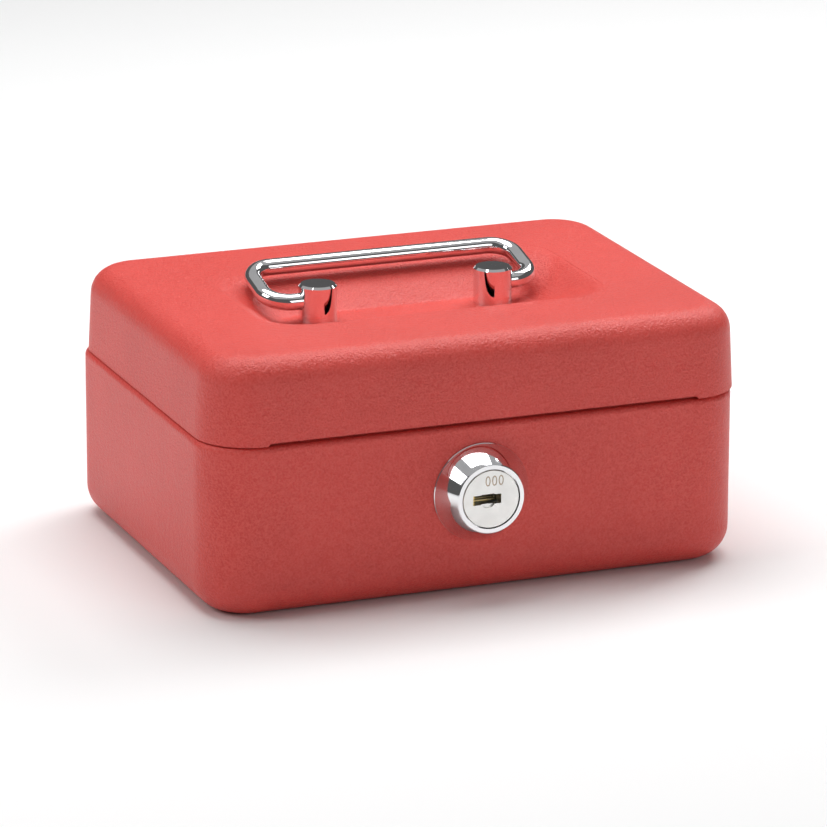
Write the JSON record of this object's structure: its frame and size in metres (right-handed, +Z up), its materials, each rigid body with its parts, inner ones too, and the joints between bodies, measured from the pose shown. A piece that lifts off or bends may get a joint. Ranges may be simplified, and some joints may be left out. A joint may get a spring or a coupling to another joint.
{
  "type": "donation cash box",
  "caption": "Small steel cash box for donations: hinged lid with a coin slot in its handle dish, a bail handle, a cam lock in the front, and a lift-out coin tray inside.",
  "frame": {"origin": "centre of the base's flat underside", "axes": "+X to the right along the hinge, -Y out of the front that carries the lock, +Z up"},
  "size_m": [0.1528, 0.1249, 0.0751],
  "materials": {
    "red_enamel": "fine textured powder coat, satin",
    "chrome": "bright plated",
    "satin_chrome": "satin plated face",
    "zinc_steel": "zinc plated",
    "brass": "stamped, bare",
    "black_plastic": "fine matt grain"
  },
  "bodies": {
    "base": {"base_shell": "red_enamel", "hinge_leaf_base": "red_enamel", "hinge_pin": "zinc_steel", "lock_housing": "chrome", "lock_nut": "zinc_steel", "lock_nut_washer": "zinc_steel"},
    "lid": {"lid_shell": "red_enamel", "hinge_leaf_lid": "red_enamel", "strike_plate": "zinc_steel", "handle_post_left": "chrome", "handle_post_right": "chrome", "post_washers": "zinc_steel", "post_nuts": "zinc_steel"},
    "bail": {"handle": "chrome"},
    "plug": {"lock_plug": "satin_chrome", "lock_wafers": "brass", "wafer_springs": "zinc_steel", "cam_stop_washer": "zinc_steel", "lock_cam": "zinc_steel", "cam_spring_washer": "zinc_steel", "cam_nut": "zinc_steel"},
    "tray": {"coin_tray": "black_plastic"}
  },
  "joints": [
    {"name": "lid_hinge", "type": "hinge", "parent": "base", "child": "lid", "pos_m": [0, 0.0579, 0.047], "axis": [-1, 0, 0], "range_deg": [0, 105]},
    {"name": "handle_swing", "type": "hinge", "parent": "lid", "child": "bail", "pos_m": [0.00015, 0.0009, 0.068], "axis": [1, 0, 0], "range_deg": [-3, 155]},
    {"name": "lock_turn", "type": "hinge", "parent": "base", "child": "plug", "pos_m": [-0.0009, -0.0575, 0.0285], "axis": [0, 1, 0], "range_deg": [0, 90]},
    {"name": "tray_lift", "type": "slide", "parent": "base", "child": "tray", "axis": [0, 0, 1], "range_m": [0, 0.007]}
  ]
}
